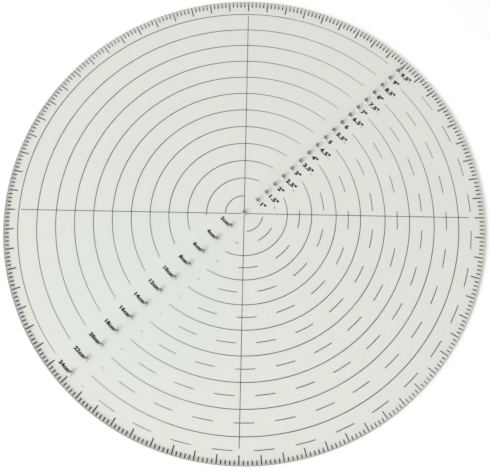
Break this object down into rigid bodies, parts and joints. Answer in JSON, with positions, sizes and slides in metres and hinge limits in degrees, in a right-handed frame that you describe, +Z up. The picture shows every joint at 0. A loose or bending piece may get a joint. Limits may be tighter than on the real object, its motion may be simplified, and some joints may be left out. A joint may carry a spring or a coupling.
{
  "type": "protractor",
  "caption": "Flat clear acrylic disc with a degree-scale rim, engraved concentric circles, a centre cross and a line of pencil holes for drawing circles and finding centres.",
  "frame": {"origin": "middle of the disc's underside, which is the face it rests on", "axes": "+Z up out of the face that is read, square to the plate; X and Y along the painted cross lines; the hole line runs at 45 degrees between +X and +Y, with the inch holes on that side and the centimetre holes opposite"},
  "size_m": [0.254, 0.254, 0.003],
  "materials": {
    "clear_acrylic": "polished clear acrylic sheet with laser-cut edges",
    "line_paint": "matt dark paint in engraved lines"
  },
  "bodies": {
    "root": {"acrylic_disc": "clear_acrylic", "centimetre_circle_2": "line_paint", "centimetre_circle_4": "line_paint", "centimetre_circle_6": "line_paint", "centimetre_circle_8": "line_paint", "centimetre_circle_10": "line_paint", "centimetre_circle_12": "line_paint", "centimetre_circle_14": "line_paint", "centimetre_circle_16": "line_paint", "centimetre_circle_18": "line_paint", "centimetre_circle_20": "line_paint", "centimetre_circle_22": "line_paint", "centimetre_circle_24": "line_paint", "inch_circle_1": "line_paint", "inch_circle_2": "line_paint", "inch_circle_3": "line_paint", "inch_circle_4": "line_paint", "inch_circle_5": "line_paint", "inch_circle_6": "line_paint", "inch_circle_7": "line_paint", "inch_circle_8": "line_paint", "inch_circle_9": "line_paint", "cross_line_right": "line_paint", "cross_line_top": "line_paint", "cross_line_left": "line_paint", "cross_line_bottom": "line_paint"}
  },
  "joints": []
}
